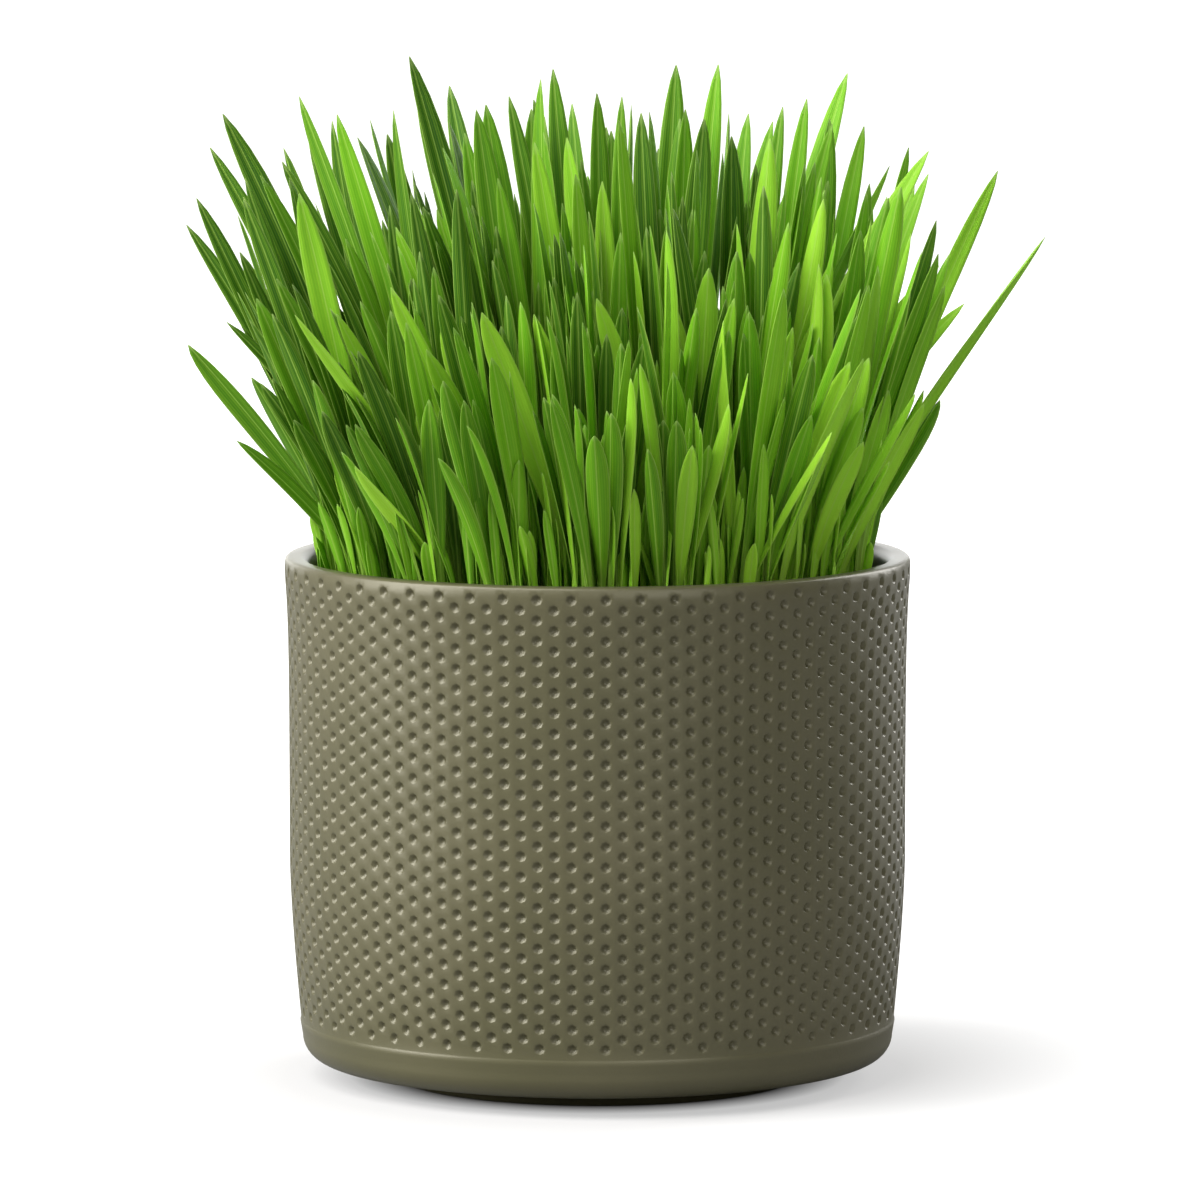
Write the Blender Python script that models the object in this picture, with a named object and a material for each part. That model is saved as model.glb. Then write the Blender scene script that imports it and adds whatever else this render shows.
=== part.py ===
"""Potted cat grass: a round dimpled ceramic pot, the soil in it, and clumps of grass that grow from the soil.

Metres, +Z up. The origin is the middle of the pot's foot, where it stands.
"""

import bpy
import numpy as np

MM = 0.001

# Pot
RIM_RADIUS = 70.0 * MM
POT_HEIGHT = 117.5 * MM
RIM_ROUND = 2.8 * MM
INNER_RADIUS = 64.0 * MM
WALL_RADIUS = 69.1 * MM
FLARE = 0.9 * MM
FLARE_HEIGHT = 113.0 * MM
FLARE_REACH = 10.0 * MM
DRAWN_IN = 2.6 * MM
DRAWN_IN_BELOW = 50.0 * MM
DRAWN_IN_REACH = 38.0 * MM
FLOOR_HEIGHT = 12.5 * MM
CORNER_RADIUS_FROM_AXIS = 66.3 * MM
CORNER_ROUND = 5.5 * MM
FOOT_HEIGHT = 4.2 * MM
FOOT_RADIUS = 46.0 * MM
BAND_TOP = 13.4 * MM
BAND_PROUD = 0.35 * MM
DIMPLES_FROM = 14.0 * MM
DIMPLES_TO = 112.4 * MM
DIMPLE_STEPS = 32
DIMPLE_DEPTH = 0.75 * MM
ROUND_OUTSIDE = 84
ROUND_BELOW = 28
RIM_STEPS = 4
SHARP_ANGLE = 0.35

# Soil and the clumps' crowns, which stand in plain holes in it
SOIL_TOP = 105.5 * MM
SOIL_BOTTOM = 12.8 * MM
GAP = 0.3 * MM
CLUMP_RINGS = ((1, 0.0), (6, 18.1 * MM), (12, 36.2 * MM), (18, 54.2 * MM))
CROWN_RADIUS = 8.4 * MM
CROWN_DEPTH = 11.0 * MM
CROWN_PROUD = 0.6 * MM
CROWN_SIDES = 8

# Grass blades
BLADE_COUNT = 308
ROOT_DEPTH = 5.0 * MM
BLADE_THICKNESS = 0.9 * MM
STATIONS = (0.0, 0.5, 0.85, 1.0)
BASE_WIDTH = 0.30
WIDEST_AT = 0.68
TIP_POWER = 10
TIP_ROUNDING = 0.7
ROOT_SPREAD = 5.2 * MM
CLEARANCE = 1.35 * MM
NEARBY = 11.0 * MM
FAR_AWAY = 1000.0
FUSED_HEIGHT = 8.0 * MM
MOUTH_RADIUS = 63.1 * MM
MOUTH_HEIGHT = 119.0 * MM
LEVEL_STEP = 3.0 * MM
TALLEST = 112.0 * MM
FURTHEST_OUT = 80.0 * MM
FURTHEST_ROOT = 59.0 * MM
ROOT_SCATTER = 1.2 * MM
TIP_SCATTER = 5.0 * MM
LEAN_LEFT = 4.0 * MM
TWIST_SPREAD = 0.5
SEED = 11
MOST_DRAWS = 14000
TIP_DRAWS = 40

# Tips of the blades that give the grass its outline: across and above the rim, in millimetres, as measured.
BACK_TIPS = (
    (-84, 98), (-88, 89), (-90, 79), (-93, 72), (-67, 102), (-66, 93), (-71, 87), (-60, 96), (-54, 92),
    (-52, 95), (-48, 91), (-46, 99), (-42, 111), (-41, 100), (-34, 102), (-30, 93), (-27, 99), (-25, 100),
    (-20, 101), (-15, 98), (-13, 106), (-10, 108), (-6, 99), (0, 102), (2, 93), (8, 99), (12, 98),
    (18, 107), (20, 98), (24, 97), (27, 109), (34, 97), (40, 94), (42, 98), (47, 101), (49, 87), (53, 95),
    (57, 105), (61, 93), (65, 79), (67, 84), (72, 80), (74, 90), (75, 83), (90, 85), (101, 70),
)
SIDE_TIPS = ((-91, 48), (-80, 27), (-83, 52), (82, 56), (76, 65))
MIDDLE_TIPS = (
    (-34, 92), (-14, 93), (-22, 85), (-7, 93), (1, 84), (-36, 77), (-45, 74), (-56, 71), (-66, 82), (-75, 85),
    (5, 98), (-58, 99), (22, 78), (24, 68), (41, 71), (52, 67), (61, 76), (2, 69), (13, 56), (16, 65),
)
FRONT_TIPS = (
    (-45, 64), (-57, 57), (-66, 58), (-62, 37), (-25, 59), (-34, 55), (-37, 51), (-29, 39), (-40, 34),
    (-29, 22), (-53, 25), (-39, 25), (-14, 57), (-5, 51), (-10, 34), (-9, 26), (0, 61), (3, 54), (4, 20),
    (9, 14), (19, 25), (16, 60), (27, 57), (37, 20), (55, 47), (58, 49), (58, 30),
)
# Each list's depths, nearest and furthest, and how far to the right of its tip's line a blade is rooted
GROUPS = (
    (BACK_TIPS, 8, 58, 3),
    (SIDE_TIPS, -15, 15, 0),
    (MIDDLE_TIPS, -18, 12, 6),
    (FRONT_TIPS, -62, -24, 9),
)

POT_COLOUR = (0.24, 0.22, 0.15, 1.0)
SOIL_COLOUR = (0.05, 0.032, 0.02, 1.0)
GRASS_COLOUR = (0.16, 0.42, 0.05, 1.0)


def clear_scene():
    for obj in list(bpy.data.objects):
        bpy.data.objects.remove(obj, do_unlink=True)


def finish(name, colour, roughness):
    material = bpy.data.materials.new(name)
    material.use_nodes = True
    shader = material.node_tree.nodes["Principled BSDF"]
    shader.inputs["Base Color"].default_value = colour
    shader.inputs["Roughness"].default_value = roughness
    shader.inputs["Metallic"].default_value = 0.0
    return material


def solid(name, points, faces):
    mesh = bpy.data.meshes.new(name)
    mesh.from_pydata(np.asarray(points).tolist(), [], [list(map(int, face)) for face in faces])
    mesh.validate()
    obj = bpy.data.objects.new(name, mesh)
    bpy.context.scene.collection.objects.link(obj)
    return obj


def wall_radius(z):
    """Outside of the pot at height z: nearly upright, flared a little at the rim, drawn in low down."""
    flare = FLARE * np.exp((z - FLARE_HEIGHT) / FLARE_REACH)
    drawn_in = DRAWN_IN * (np.clip(DRAWN_IN_BELOW - z, 0, None) / DRAWN_IN_REACH) ** 1.5
    return WALL_RADIUS + flare - drawn_in


def circle(radius, z, count, turn=0.0):
    """A ring of points; turn is in steps of the ring."""
    angle = (np.arange(count) + turn) * 2 * np.pi / count
    return np.column_stack([radius * np.cos(angle), radius * np.sin(angle), np.full(count, z)])


def join_rings(low, high, count):
    """Triangles between two rings of equal count, each given by its first point."""
    after = [(i + 1) % count for i in range(count)]
    faces = [(low + i, low + after[i], high + after[i]) for i in range(count)]
    return faces + [(low + i, high + after[i], high + i) for i in range(count)]


def join_few_to_many(few, few_count, many, many_count):
    """Triangles from a ring of few points up to one with a whole number of times as many."""
    share = many_count // few_count
    faces = []
    for i in range(few_count):
        few_here = few + i
        few_after = few + (i + 1) % few_count
        fan = [many + (i * share + k) % many_count for k in range(share + 1)]
        faces.append((few_here, few_after, fan[share // 2 + 1]))
        for k in range(share):
            faces.append((fan[k + 1], fan[k], few_here if k <= share // 2 else few_after))
    return faces


def make_pot():
    """Rings of points from the middle of the foot, up the outside, over the rim and down to the floor.

    The dimpled wall is a net of squares. Every second point of each row is pushed in, one step aside from
    those of the row before, and each square is folded between its two corners that stay out.
    """
    points = [np.array([[0.0, 0.0, 0.0]])]
    faces = []

    def add(ring):
        points.append(ring)
        return sum(len(part) for part in points[:-1])

    corner = CORNER_RADIUS_FROM_AXIS - CORNER_ROUND
    diagonal = CORNER_ROUND * np.sqrt(0.5)
    coarse = (
        (FOOT_RADIUS, 0.0),
        (FOOT_RADIUS, FOOT_HEIGHT),
        (corner, FOOT_HEIGHT),
        (corner + diagonal, FOOT_HEIGHT + CORNER_ROUND - diagonal),
    )
    below = [add(circle(radius, z, ROUND_BELOW)) for radius, z in coarse]
    faces += [(0, below[0] + (i + 1) % ROUND_BELOW, below[0] + i) for i in range(ROUND_BELOW)]
    for low, high in zip(below, below[1:]):
        faces += join_rings(low, high, ROUND_BELOW)

    band = [
        add(circle(CORNER_RADIUS_FROM_AXIS, FOOT_HEIGHT + CORNER_ROUND, ROUND_OUTSIDE)),
        add(circle(wall_radius(BAND_TOP) + BAND_PROUD, BAND_TOP - BAND_PROUD, ROUND_OUTSIDE)),
    ]
    faces += join_few_to_many(below[-1], ROUND_BELOW, band[0], ROUND_OUTSIDE)
    faces += join_rings(band[0], band[1], ROUND_OUTSIDE)

    rows = []
    for row in range(DIMPLE_STEPS + 1):
        z = DIMPLES_FROM + (DIMPLES_TO - DIMPLES_FROM) * row / DIMPLE_STEPS
        radius = np.full(ROUND_OUTSIDE, wall_radius(z))
        if 0 < row < DIMPLE_STEPS:
            radius[row % 2::2] -= DIMPLE_DEPTH
        ring = circle(1.0, z, ROUND_OUTSIDE)
        ring[:, :2] *= radius[:, None]
        rows.append(add(ring))
    faces += join_rings(band[1], rows[0], ROUND_OUTSIDE)
    for row, (low, high) in enumerate(zip(rows, rows[1:])):
        for i in range(ROUND_OUTSIDE):
            corners = [low + i, low + (i + 1) % ROUND_OUTSIDE, high + (i + 1) % ROUND_OUTSIDE, high + i]
            a, b, c, d = corners if (i + row) % 2 else corners[1:] + corners[:1]
            faces += [(a, b, c), (a, c, d)]

    rim_axis = RIM_RADIUS - RIM_ROUND
    rim = []
    for step in range(RIM_STEPS + 1):
        angle = np.pi * step / RIM_STEPS
        radius = rim_axis + RIM_ROUND * np.cos(angle)
        z = POT_HEIGHT - RIM_ROUND + RIM_ROUND * np.sin(angle)
        rim.append(add(circle(radius, z, ROUND_OUTSIDE)))
    faces += join_rings(rows[-1], rim[0], ROUND_OUTSIDE)
    for low, high in zip(rim, rim[1:]):
        faces += join_rings(low, high, ROUND_OUTSIDE)

    inside = [
        add(circle(INNER_RADIUS, POT_HEIGHT - 2 * RIM_ROUND, ROUND_OUTSIDE)),
        add(circle(INNER_RADIUS, FLOOR_HEIGHT, ROUND_OUTSIDE)),
    ]
    faces += join_rings(rim[-1], inside[0], ROUND_OUTSIDE)
    faces += join_rings(inside[0], inside[1], ROUND_OUTSIDE)
    middle = add(np.array([[0.0, 0.0, FLOOR_HEIGHT]]))
    faces += [(inside[1] + i, inside[1] + (i + 1) % ROUND_OUTSIDE, middle) for i in range(ROUND_OUTSIDE)]

    pot = solid("pot", np.vstack(points), faces)
    pot.data.materials.append(finish("matte olive ceramic", POT_COLOUR, 0.6))
    pot.data.shade_smooth()
    pot.data.set_sharp_from_angle(angle=SHARP_ANGLE)


def clump_places():
    """Middle of each clump: rings round the middle of the pot, each ring turned half a step from the last."""
    places = []
    for ring, (count, radius) in enumerate(CLUMP_RINGS):
        angle = (np.arange(count) + 0.5 * (ring % 2)) * 2 * np.pi / count
        places.append(np.column_stack([radius * np.cos(angle), radius * np.sin(angle)]))
    return np.vstack(places)


def prism(name, middle, radius, bottom, top, sides):
    points = np.vstack([circle(radius, bottom, sides, 0.5), circle(radius, top, sides, 0.5)])
    points[:, :2] += middle
    faces = [tuple(range(sides))[::-1], tuple(range(sides, 2 * sides))]
    faces += [(i, (i + 1) % sides, sides + (i + 1) % sides, sides + i) for i in range(sides)]
    return solid(name, points, faces)


def combine(base, others, operation, solver):
    """Boolean of base with the other objects, applied; the others are then removed."""
    group = bpy.data.collections.new("others")
    bpy.context.scene.collection.children.link(group)
    for obj in others:
        bpy.context.scene.collection.objects.unlink(obj)
        group.objects.link(obj)
    boolean = base.modifiers.new("combine", "BOOLEAN")
    boolean.operation = operation
    boolean.operand_type = "COLLECTION"
    boolean.collection = group
    boolean.solver = solver
    bpy.context.view_layer.update()
    evaluated = base.evaluated_get(bpy.context.evaluated_depsgraph_get())
    mesh = bpy.data.meshes.new_from_object(evaluated)
    base.modifiers.remove(boolean)
    base.data = mesh
    for obj in others:
        bpy.data.objects.remove(obj, do_unlink=True)
    bpy.data.collections.remove(group)


def make_soil(places):
    soil = prism("soil", np.zeros(2), INNER_RADIUS - GAP, SOIL_BOTTOM, SOIL_TOP, ROUND_OUTSIDE)
    soil.data.materials.append(finish("dark potting soil", SOIL_COLOUR, 0.95))
    hole_bottom = SOIL_TOP - CROWN_DEPTH - GAP
    holes = [
        prism("hole", middle, CROWN_RADIUS + GAP, hole_bottom, SOIL_TOP + ROOT_DEPTH, CROWN_SIDES)
        for middle in places
    ]
    combine(soil, holes, "DIFFERENCE", "EXACT")


def width_share(s):
    """Share of a blade's width at share s of its height: slim foot, widest past the middle, blunt point."""
    rise = 0.5 - 0.5 * np.cos(np.pi * np.minimum(s / WIDEST_AT, 1))
    return (BASE_WIDTH + (1 - BASE_WIDTH) * rise) * (1 - s**TIP_POWER) ** TIP_ROUNDING


def blade_edges(blade, s):
    """Left and right edge of a blade at shares s of its height.

    The middle line runs from root to tip, its sideways travel following share to the power bow. The width
    lies level across it, facing a direction that turns evenly from root to tip.
    """
    root, tip, width, facing, twist, bow = blade
    s = np.asarray(s, float)
    middle = np.column_stack([
        root[0] + (tip[0] - root[0]) * s**bow,
        root[1] + (tip[1] - root[1]) * s**bow,
        root[2] + (tip[2] - root[2]) * s,
    ])
    angle = facing + twist * s
    half = 0.5 * width * width_share(s)
    across = np.column_stack([np.cos(angle), np.sin(angle), np.zeros(len(s))]) * half[:, None]
    return middle - across, middle + across


def level_points(blade, levels):
    """Points across the straight-sided blade at each level, far away where the blade doesn't reach."""
    left, right = blade_edges(blade, STATIONS)
    share = np.linspace(0, 1, 7)[None, :, None]
    at = [np.interp(levels, left[:, 2], side[:, axis]) for side in (left, right) for axis in (0, 1)]
    low = np.column_stack(at[:2])[:, None, :]
    high = np.column_stack(at[2:])[:, None, :]
    points = low + (high - low) * share
    points[levels > blade[1][2]] = FAR_AWAY
    return points


class Stand:
    """The blades placed so far, as points across each of them at each level."""

    def __init__(self):
        self.levels = np.arange(SOIL_TOP + 1 * MM, POT_HEIGHT + TALLEST, LEVEL_STEP)
        self.points = np.empty((len(self.levels), BLADE_COUNT, 7, 2))
        self.clumps = np.empty(BLADE_COUNT, int)
        self.placed = []

    def fits(self, points, clump):
        """True where a blade is clear of the pot's mouth and of the others, save low in its own clump."""
        in_mouth = self.levels < MOUTH_HEIGHT
        if (np.hypot(points[in_mouth, :, 0], points[in_mouth, :, 1]) > MOUTH_RADIUS).any():
            return False
        count = len(self.placed)
        top = int((points[:, 3, 0] < FAR_AWAY).sum())
        gap = np.linalg.norm(self.points[:top, :count, 3] - points[:top, None, 3], axis=2)
        near = np.flatnonzero((gap < NEARBY).any(axis=0))
        for every in (5, 1):
            others = self.points[:top:every, near]
            own = points[:top:every, None, None]
            distance = np.linalg.norm(others[:, :, :, None] - own, axis=4).min(axis=(2, 3))
            low = self.levels[:top:every] < SOIL_TOP + FUSED_HEIGHT
            grown_together = low[:, None] & (self.clumps[near] == clump)
            if not (distance[~grown_together] > CLEARANCE).all():
                return False
        return True

    def keep(self, clump, blade):
        points = level_points(blade, self.levels)
        if not self.fits(points, clump):
            return False
        self.points[:, len(self.placed)] = points
        self.clumps[len(self.placed)] = clump
        self.placed.append((clump, blade))
        return True


def root_near(wanted, places, draw):
    """The clump nearest to a wanted place, and a root inside its crown, on the ground."""
    clump = int(np.argmin(np.linalg.norm(places - wanted, axis=1)))
    offset = wanted - places[clump] + draw.normal(0, ROOT_SCATTER, 2)
    reach = np.linalg.norm(offset)
    if reach > ROOT_SPREAD:
        offset *= ROOT_SPREAD * draw.uniform(0.75, 1.0) / reach
    place = places[clump] + offset
    return clump, np.array([place[0], place[1], SOIL_TOP])


def measured_blade(across, above, near_depth, far_depth, aside, places, draw):
    """A blade that ends at a measured tip: its root stands nearer the middle of the pot."""
    depth = draw.uniform(near_depth, far_depth) * MM
    tip = np.array([across * MM, depth, POT_HEIGHT + above * MM])
    inward = draw.uniform(0.45, 0.8)
    wanted = tip[:2] * inward + np.array([aside * MM, 0.0])
    reach = np.linalg.norm(wanted)
    wanted *= min(1.0, FURTHEST_ROOT / max(reach, 1e-9))
    clump, root = root_near(wanted, places, draw)
    width = draw.uniform(4.6, 7.0) * MM
    facing = draw.normal(0.0, 0.45)
    twist = draw.normal(0.0, TWIST_SPREAD)
    return clump, (root, tip, width, facing, twist, draw.uniform(1.25, 1.7))


def filling_blade(places, draw):
    """A blade of the rest of the grass: tall in the middle and the back, shorter at the edge and in front."""
    clump = int(draw.integers(len(places)))
    angle = draw.uniform(0, 2 * np.pi)
    reach = ROOT_SPREAD * np.sqrt(draw.uniform())
    place = places[clump] + reach * np.array([np.cos(angle), np.sin(angle)])
    outward = np.linalg.norm(place) / (60 * MM)
    in_front = max(0.0, -place[1] / (60 * MM))
    lowest = 74 - 50 * outward**2
    above = draw.uniform(lowest - 6 * in_front, 104 - 8 * outward - 44 * in_front) * MM
    lean = 1 + draw.uniform(0.12, 0.55)
    tip_place = place * lean + draw.normal((-LEAN_LEFT, 0), TIP_SCATTER)
    tip_place *= min(1.0, FURTHEST_OUT / np.linalg.norm(tip_place))
    root = np.array([place[0], place[1], SOIL_TOP])
    tip = np.array([tip_place[0], tip_place[1], POT_HEIGHT + above])
    width = draw.uniform(4.2, 6.6) * MM
    facing = draw.uniform(0, np.pi)
    twist = draw.normal(0.0, TWIST_SPREAD)
    return clump, (root, tip, width, facing, twist, draw.uniform(1.15, 1.6))


def place_blades(places):
    """Blades as (clump, blade), none crossing another: one that comes too near others is drawn again."""
    draw = np.random.default_rng(SEED)
    stand = Stand()
    for tips, near_depth, far_depth, aside in GROUPS:
        for across, above in tips:
            for _ in range(TIP_DRAWS):
                if stand.keep(*measured_blade(across, above, near_depth, far_depth, aside, places, draw)):
                    break
    for _ in range(MOST_DRAWS):
        if len(stand.placed) == BLADE_COUNT:
            break
        stand.keep(*filling_blade(places, draw))
    return stand.placed


def blade_solid(blade):
    """A closed wedge: at each station the two edges and a keel behind them, and one point at the tip."""
    stations = np.array(STATIONS[:-1])
    left, right = blade_edges(blade, stations)
    left[0, 2] -= ROOT_DEPTH
    right[0, 2] -= ROOT_DEPTH
    across = right - left
    behind = np.column_stack([-across[:, 1], across[:, 0], np.zeros(len(stations))])
    behind *= BLADE_THICKNESS / np.linalg.norm(behind, axis=1)[:, None]
    keel = 0.5 * (left + right) + 0.6 * behind
    rings = np.stack([left - 0.4 * behind, right - 0.4 * behind, keel], axis=1).reshape(-1, 3)
    points = np.vstack([rings, blade[1]])
    faces = [(0, 2, 1)]
    for ring in range(len(stations) - 1):
        for side in range(3):
            a = 3 * ring + side
            b = 3 * ring + (side + 1) % 3
            faces += [(a, b, b + 3), (a, b + 3, a + 3)]
    last = 3 * (len(stations) - 1)
    top = len(points) - 1
    faces += [(last + side, last + (side + 1) % 3, top) for side in range(3)]
    return solid("blade", points, faces)


def make_clumps(places):
    grass = finish("green grass", GRASS_COLOUR, 0.45)
    placed = place_blades(places)
    for clump, middle in enumerate(places):
        crown = prism(
            f"clump_{clump + 1:02d}", middle, CROWN_RADIUS, SOIL_TOP - CROWN_DEPTH, SOIL_TOP + CROWN_PROUD,
            CROWN_SIDES,
        )
        crown.data.materials.append(grass)
        blades = [blade_solid(blade) for owner, blade in placed if owner == clump]
        if blades:
            combine(crown, blades, "UNION", "MANIFOLD")


def main():
    clear_scene()
    places = clump_places()
    make_pot()
    make_soil(places)
    make_clumps(places)


main()
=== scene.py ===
"""Looks of the potted cat grass: the dimpled pot, the soil and the grass, with a floor, lights and a camera.

Metres, +Z up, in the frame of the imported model.
"""

import bpy
import numpy as np
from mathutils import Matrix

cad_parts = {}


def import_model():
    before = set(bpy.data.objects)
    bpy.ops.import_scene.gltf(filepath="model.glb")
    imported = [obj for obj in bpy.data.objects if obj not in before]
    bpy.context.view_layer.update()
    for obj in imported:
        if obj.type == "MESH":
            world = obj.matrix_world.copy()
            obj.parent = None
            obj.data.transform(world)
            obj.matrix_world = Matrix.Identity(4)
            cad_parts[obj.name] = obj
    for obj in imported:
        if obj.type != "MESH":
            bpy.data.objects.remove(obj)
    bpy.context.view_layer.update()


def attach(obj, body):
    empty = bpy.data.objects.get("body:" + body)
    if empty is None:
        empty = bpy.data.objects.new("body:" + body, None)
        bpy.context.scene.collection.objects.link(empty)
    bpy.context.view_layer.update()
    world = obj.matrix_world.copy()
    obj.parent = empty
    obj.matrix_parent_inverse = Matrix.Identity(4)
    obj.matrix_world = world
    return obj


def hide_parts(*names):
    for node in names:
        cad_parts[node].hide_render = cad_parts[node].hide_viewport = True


MM = 0.001
BODY = "root"

# Pot, as built
RIM_RADIUS = 70.0 * MM
POT_HEIGHT = 117.5 * MM
RIM_INNER_ROUND = 2.8 * MM
INNER_RADIUS = 64.0 * MM
WALL_RADIUS = 69.1 * MM
FLARE = 0.9 * MM
FLARE_HEIGHT = 113.0 * MM
FLARE_REACH = 10.0 * MM
DRAWN_IN = 2.6 * MM
DRAWN_IN_BELOW = 50.0 * MM
DRAWN_IN_REACH = 38.0 * MM
FLOOR_HEIGHT = 12.5 * MM
CORNER_RADIUS_FROM_AXIS = 66.3 * MM
CORNER_ROUND = 5.5 * MM
FOOT_HEIGHT = 4.2 * MM
FOOT_RADIUS = 46.0 * MM
BAND_TOP = 13.4 * MM

# Pot, finer than built: the band's step, and the wall eased inwards under a tight outer edge of the rim
BAND_PROUD = 0.2 * MM
BAND_STEP_HEIGHT = 0.55 * MM
RIM_EDGE_ROUND = 1.2 * MM
RIM_EASE = 0.5 * MM
RIM_EASE_REACH = 6.0 * MM

# Dimples at their real spacing: upright columns of them, every second column half a pitch lower. A ring of a
# dimple has a share of its radius and a share of its depth.
DIMPLE_COLUMNS = 116
DIMPLES_IN_COLUMN = 23
DIMPLE_PITCH = 4.5 * MM
FIRST_DIMPLE_HEIGHT = 114.7 * MM
DIMPLE_RADIUS = 1.22 * MM
DIMPLE_DEPTH = 0.88 * MM
DIMPLE_RINGS = ((0.58, 0.84), (0.98, 0.06), (1.13, 0.0))

# Soil and the rings of clumps in it (how many, and how far from the axis), as built
SOIL_TOP = 105.5 * MM
SOIL_BOTTOM = 12.8 * MM
GAP = 0.3 * MM
CLUMP_RINGS = ((1, 0.0), (6, 18.1 * MM), (12, 36.2 * MM), (18, 54.2 * MM))

# Soil, finer than built: each wave's length and height in millimetres, and the loose crumbs
SOIL_WAVES = ((31, 0.7), (19, 0.6), (11, 0.5), (6.3, 0.38), (3.7, 0.26), (2.1, 0.16))
SOIL_RINGS = 74
SOIL_SPOKES = 190
GRAIN = 0.16 * MM
CRUMB_COUNT = 1500
SMALLEST_CRUMB = 0.5 * MM
LARGEST_CRUMB = 2.0 * MM

# Grass, as built
BLADE_COUNT = 308
STATIONS = (0.0, 0.5, 0.85, 1.0)
BASE_WIDTH = 0.30
WIDEST_AT = 0.68
TIP_POWER = 10
TIP_ROUNDING = 0.7
ROOT_SPREAD = 5.2 * MM
CLEARANCE = 1.35 * MM
NEARBY = 11.0 * MM
FAR_AWAY = 1000.0
FUSED_HEIGHT = 8.0 * MM
MOUTH_RADIUS = 63.1 * MM
MOUTH_HEIGHT = 119.0 * MM
LEVEL_STEP = 3.0 * MM
TALLEST = 112.0 * MM
FURTHEST_OUT = 80.0 * MM
FURTHEST_ROOT = 59.0 * MM
ROOT_SCATTER = 1.2 * MM
TIP_SCATTER = 5.0 * MM
LEAN_LEFT = 4.0 * MM
TWIST_SPREAD = 0.5
SEED = 11
MOST_DRAWS = 14000
TIP_DRAWS = 40

# Tips measured in the photograph: millimetres to the right of the pot's axis, and above its rim
BACK_TIPS = (
    (-84, 98), (-88, 89), (-90, 79), (-93, 72), (-67, 102), (-66, 93), (-71, 87), (-60, 96), (-54, 92),
    (-52, 95), (-48, 91), (-46, 99), (-42, 111), (-41, 100), (-34, 102), (-30, 93), (-27, 99), (-25, 100),
    (-20, 101), (-15, 98), (-13, 106), (-10, 108), (-6, 99), (0, 102), (2, 93), (8, 99), (12, 98),
    (18, 107), (20, 98), (24, 97), (27, 109), (34, 97), (40, 94), (42, 98), (47, 101), (49, 87), (53, 95),
    (57, 105), (61, 93), (65, 79), (67, 84), (72, 80), (74, 90), (75, 83), (90, 85), (101, 70),
)
SIDE_TIPS = ((-91, 48), (-80, 27), (-83, 52), (82, 56), (76, 65))
MIDDLE_TIPS = (
    (-34, 92), (-14, 93), (-22, 85), (-7, 93), (1, 84), (-36, 77), (-45, 74), (-56, 71), (-66, 82), (-75, 85),
    (5, 98), (-58, 99), (22, 78), (24, 68), (41, 71), (52, 67), (61, 76), (2, 69), (13, 56), (16, 65),
)
FRONT_TIPS = (
    (-45, 64), (-57, 57), (-66, 58), (-62, 37), (-25, 59), (-34, 55), (-37, 51), (-29, 39), (-40, 34),
    (-29, 22), (-53, 25), (-39, 25), (-14, 57), (-5, 51), (-10, 34), (-9, 26), (0, 61), (3, 54), (4, 20),
    (9, 14), (19, 25), (16, 60), (27, 57), (37, 20), (55, 47), (58, 49), (58, 30),
)

# Each list's depths, nearest and furthest, how far to the right of its tip's line a blade is rooted, and how
# light its blades are (0 dark, 1 light): dark behind and light in front, partly their own green and partly
# painted light and shade
GROUPS = (
    (BACK_TIPS, 8, 58, 3, 0.28),
    (SIDE_TIPS, -15, 15, 0, 0.45),
    (MIDDLE_TIPS, -18, 12, 6, 0.65),
    (FRONT_TIPS, -62, -24, 9, 1.05),
)

# Finer grass than built: more blades, their tones (0 dark, 1 light), and the shape of each leaf
TIP_TONE_SPREAD = 0.16
FILLING_TONE = 0.27
FILLING_TONE_SPREAD = 0.3
# Painted shade: the blades that close the gaps behind, and the undergrowth among the stems, are dark
BETWEEN_PAINTED_SHADE_TONE = 0.0
LOW_PAINTED_SHADE_TONE = 0.18
MORE_TONE_SPREAD = 0.2
BETWEEN_BLADES = 300
LOW_BLADES = 900
MORE_DRAWS = 14000
MORE_CLEARANCE = 0.1 * MM
BETWEEN_WIDTH = 0.85
LOW_WIDTH = 0.48
LOW_SPREAD = 1.75
LOW_LEAN = 0.6
# Painted light: blades further right, and low blades in front, are made brighter
PAINTED_LIGHT_RIGHT = 0.0050 / MM
PAINTED_LIGHT_FRONT_LOW = 0.75
PAINTED_LIGHT_BELOW = 75.0 * MM
LEAF_STATIONS = 16
LEAF_ACROSS = 5
LEAF_WIDTH_AT = (0, 0.22, 0.5, 0.8, 0.9, 0.96, 1)
LEAF_WIDTH_SHARE = (0.92, 0.64, 0.87, 1.02, 1, 0.93, 0.85)
LEAF_RAISED = 0.4 * MM
LEAF_THICKNESS = 0.28 * MM
LEAF_MARGIN_THICKNESS = 0.12 * MM
LEAF_FOLD = 0.34
FOOT_FOLD = 0.5
FOOT_FOLD_REACH = 0.1
ROOT_DEPTH = 3.0 * MM

# Camera, at the photograph's place: metres, degrees downwards, and the lens in millimetres
CAMERA_DISTANCE = 2.1
CAMERA_HEIGHT = 0.3364
CAMERA_PITCH = 6.227
CAMERA_ASIDE = 0.56 * MM
CAMERA_LENS = 282.9

FLOOR_HALF = 30.0


def mesh_object(name, points, faces, smooth=True):
    """A mesh object at the origin from an array of points and a list of arrays of faces."""
    mesh = bpy.data.meshes.new(name)
    mesh.from_pydata(points, [], [face for part in faces for face in part.tolist()])
    mesh.validate()
    if smooth:
        mesh.shade_smooth()
    obj = bpy.data.objects.new(name, mesh)
    bpy.context.scene.collection.objects.link(obj)
    return obj


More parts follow.
